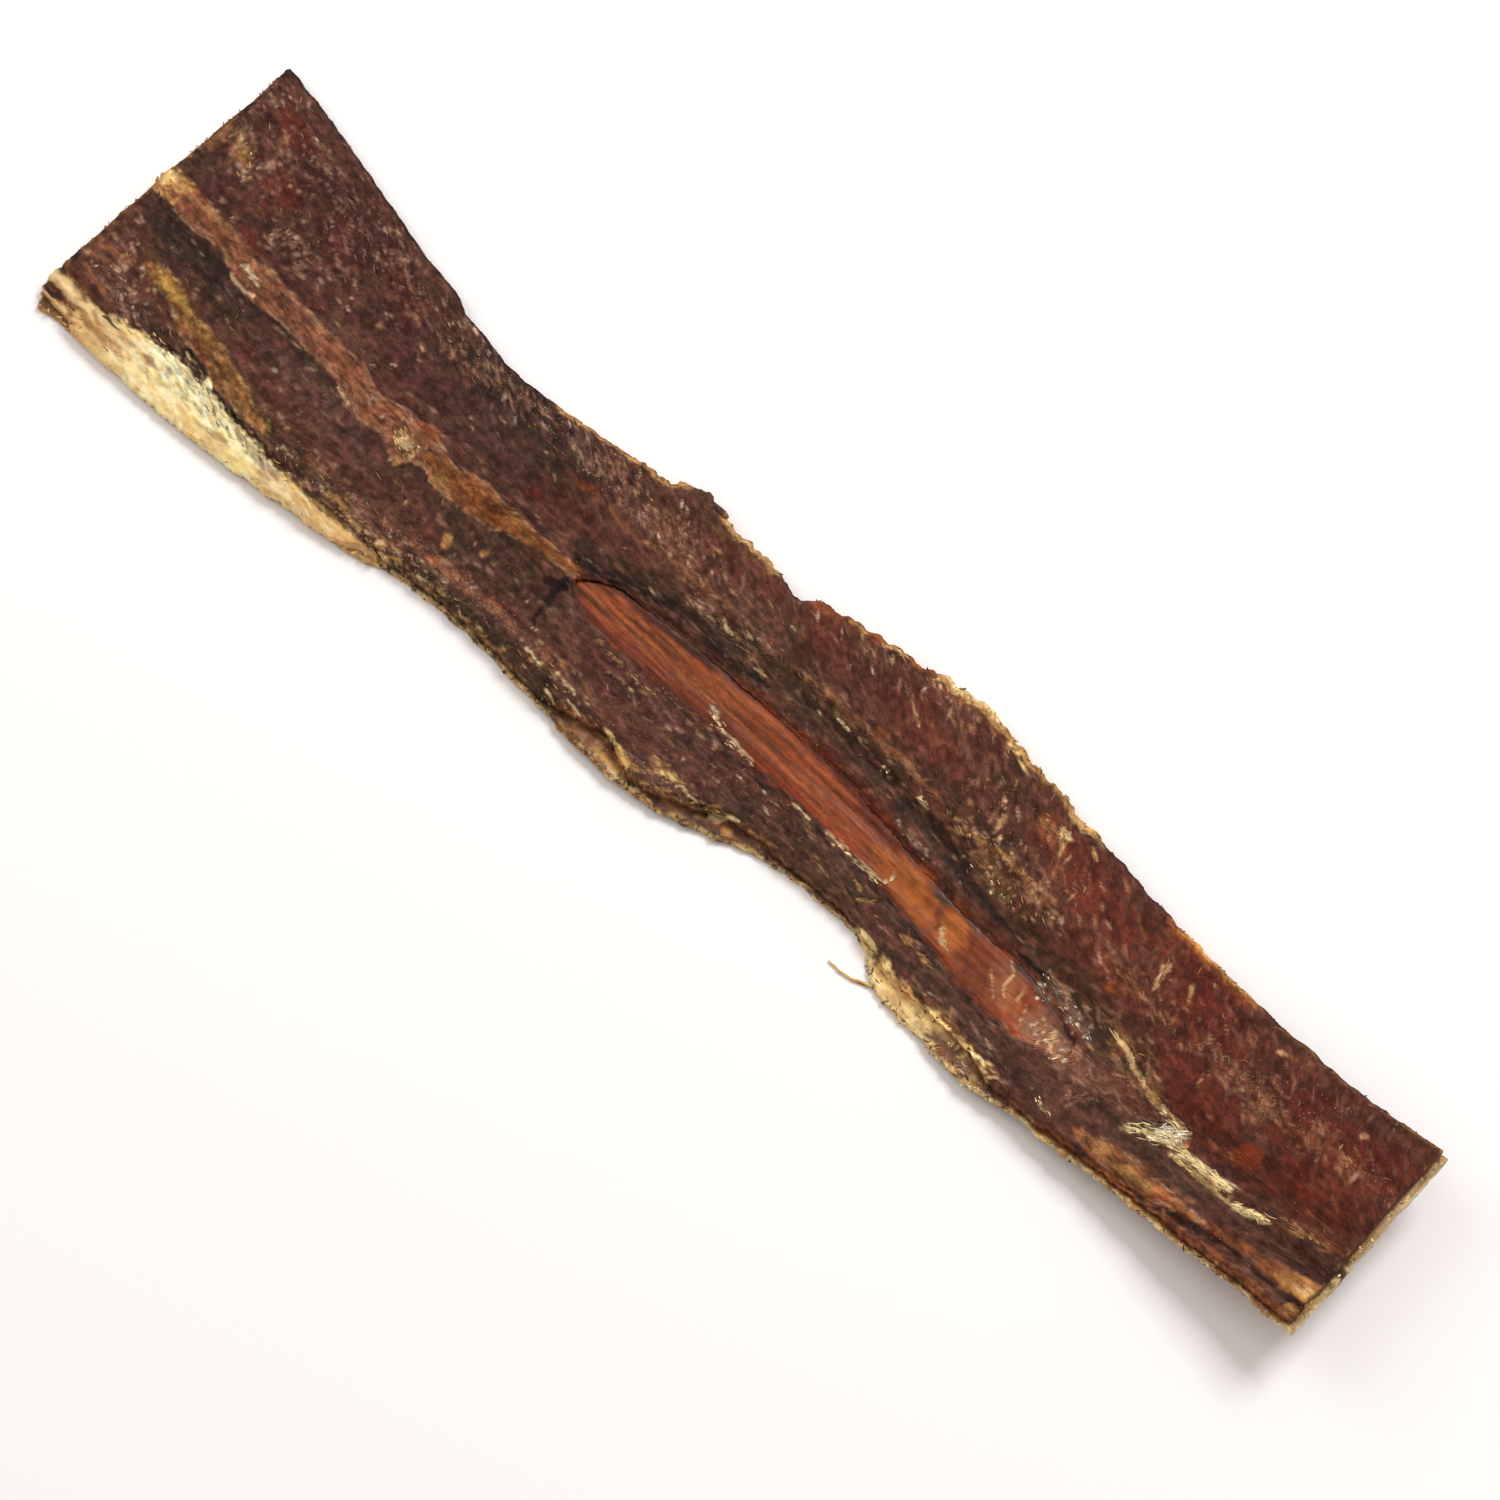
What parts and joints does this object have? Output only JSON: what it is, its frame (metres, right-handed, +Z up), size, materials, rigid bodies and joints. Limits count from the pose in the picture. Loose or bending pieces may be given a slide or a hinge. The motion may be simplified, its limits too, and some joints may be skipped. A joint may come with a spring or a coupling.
{
  "type": "dried beef gullet strip",
  "caption": "Long flat strip of dried gullet: dark meat on a tan inner skin, a long opening along the middle, pale fat on one side, narrow end curled up.",
  "frame": {"origin": "bottom centre of the whole strip's bounding box", "axes": "+X along the strip, from the wide flat end to the narrow raised end; +Y across it, away from the side with the fat; +Z up from the surface that it lies on"},
  "size_m": [0.307, 0.07, 0.0133],
  "materials": {
    "dark_meat": "dry, uneven, with a dull gloss",
    "inner_skin": "smooth and slightly translucent",
    "pale_fat": "waxy and lumpy"
  },
  "bodies": {
    "root": {"muscle": "dark_meat", "lining": "inner_skin", "fat": "pale_fat"}
  },
  "joints": []
}
